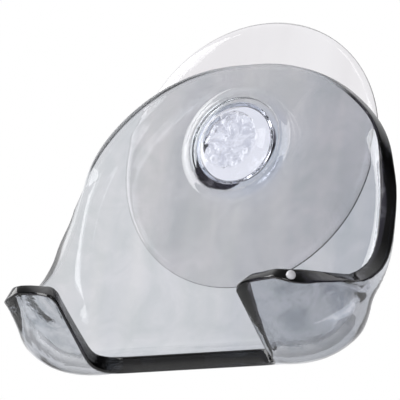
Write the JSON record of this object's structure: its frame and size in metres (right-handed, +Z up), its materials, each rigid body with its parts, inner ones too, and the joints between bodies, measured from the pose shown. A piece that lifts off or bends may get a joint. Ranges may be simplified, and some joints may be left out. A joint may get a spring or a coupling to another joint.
{
  "type": "razor holder",
  "caption": "Clear smoked shower razor holder: a bowl-shaped shell with forward arms round a handle gap, swivelling on a suction cup's knob.",
  "frame": {"origin": "centre of the suction cup's sealing ring, on the wall plane", "axes": "+Y into the wall along the cup's axis, +Z up, the arms reach towards -Y"},
  "size_m": [0.0694, 0.0317, 0.0687],
  "materials": {
    "smoked_clear_plastic": "polished, clear smoke grey",
    "clear_vinyl": "soft glossy, colourless"
  },
  "bodies": {
    "cup_rim": {"cup_skirt": "clear_vinyl"},
    "stem": {"cup_stem": "clear_vinyl"},
    "shell": {"holder_shell": "smoked_clear_plastic"}
  },
  "joints": [
    {"name": "cup_press", "type": "slide", "parent": "cup_rim", "child": "stem", "axis": [0, 1, 0], "range_m": [-0.0015, 0.001], "stiffness_N_per_m": 6000, "deforming": ["cup_skirt"]},
    {"name": "shell_swivel", "type": "hinge", "parent": "stem", "child": "shell", "pos_m": [0, -0.0045, 0], "axis": [0, 1, 0], "continuous": true}
  ]
}
